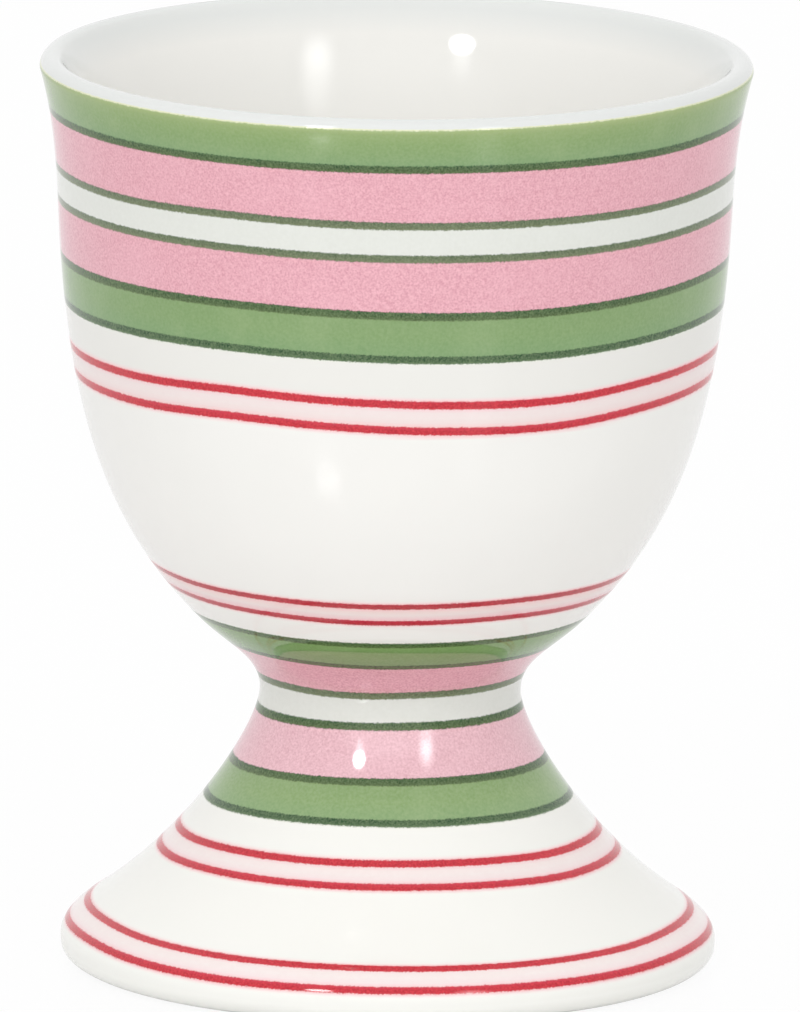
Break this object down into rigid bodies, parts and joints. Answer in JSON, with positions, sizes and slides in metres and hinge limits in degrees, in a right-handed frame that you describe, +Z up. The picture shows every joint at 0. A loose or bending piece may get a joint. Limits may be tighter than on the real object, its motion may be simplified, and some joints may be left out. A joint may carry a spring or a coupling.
{
  "type": "egg cup",
  "caption": "Footed porcelain egg cup: deep round bowl with a slightly flared lip, narrow waist and hollow trumpet foot, with painted stripes.",
  "frame": {"origin": "on the axis, at the surface that the foot ring stands on", "axes": "+Z up along the axis of the cup; the cup is round, so X and Y are alike"},
  "size_m": [0.05, 0.05, 0.0645],
  "materials": {
    "porcelain": "warm white porcelain under a clear gloss glaze, with a bare ring underneath",
    "slip": "fired slip, matt, hidden in the joint",
    "green_enamel": "glossy, fired into the glaze",
    "dark_green_enamel": "glossy, fired into the glaze",
    "pink_enamel": "glossy, fired into the glaze",
    "mint_enamel": "glossy, fired into the glaze",
    "red_enamel": "glossy, fired into the glaze",
    "blush_enamel": "glossy, fired into the glaze"
  },
  "bodies": {
    "root": {"bowl": "porcelain", "slip_joint": "slip", "foot": "porcelain", "rim_green_band": "green_enamel", "rim_line": "dark_green_enamel", "upper_pink_band": "pink_enamel", "upper_pink_line": "dark_green_enamel", "bowl_mint_band": "mint_enamel", "lower_pink_line": "dark_green_enamel", "lower_pink_band": "pink_enamel", "bowl_green_top_line": "dark_green_enamel", "bowl_green_band": "green_enamel", "bowl_green_low_line": "dark_green_enamel", "bowl_red_top_line": "red_enamel", "bowl_blush_band": "blush_enamel", "bowl_red_low_line": "red_enamel", "under_red_top_line": "red_enamel", "under_blush_band": "blush_enamel", "under_red_low_line": "red_enamel", "under_green_top_line": "dark_green_enamel", "under_green_band": "green_enamel", "under_green_low_line": "dark_green_enamel", "under_pink_band": "pink_enamel", "waist_top_line": "dark_green_enamel", "waist_mint_band": "mint_enamel", "waist_low_line": "dark_green_enamel", "foot_pink_band": "pink_enamel", "foot_green_top_line": "dark_green_enamel", "foot_green_band": "green_enamel", "foot_green_low_line": "dark_green_enamel", "foot_red_top_line": "red_enamel", "foot_blush_band": "blush_enamel", "foot_red_low_line": "red_enamel", "edge_red_top_line": "red_enamel", "edge_blush_band": "blush_enamel", "edge_red_low_line": "red_enamel"}
  },
  "joints": []
}
